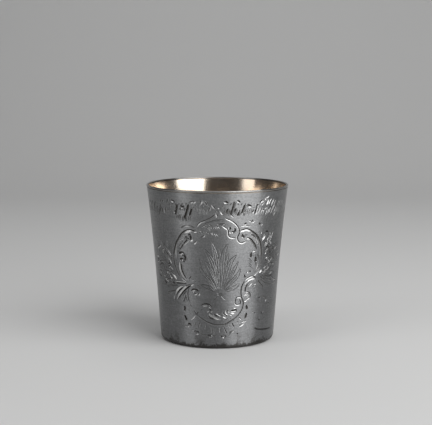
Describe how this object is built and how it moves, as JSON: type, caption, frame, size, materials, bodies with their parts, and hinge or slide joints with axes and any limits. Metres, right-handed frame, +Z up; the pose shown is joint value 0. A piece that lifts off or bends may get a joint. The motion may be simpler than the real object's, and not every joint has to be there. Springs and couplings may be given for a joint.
{
  "type": "silver beaker",
  "caption": "Small tapered silver drinking beaker with an engraved wall, a gilded inside and a thin wire lip, standing on a flat foot ring.",
  "frame": {"origin": "centre of the flat foot ring, on the surface that the beaker stands on", "axes": "+Z up along the beaker's axis; the engraved cartouche faces -Y and the wall's seam faces +Y"},
  "size_m": [0.0702, 0.0702, 0.077],
  "materials": {
    "silver": "satin silver, lightly scratched, with dark engraving",
    "gilt_silver": "worn gilding on polished silver",
    "silver_solder": "satin, filed flush"
  },
  "bodies": {
    "root": {"wall": "silver", "seam_solder": "silver_solder", "lip_wire": "silver", "base_disc": "gilt_silver", "base_solder": "silver_solder"}
  },
  "joints": []
}
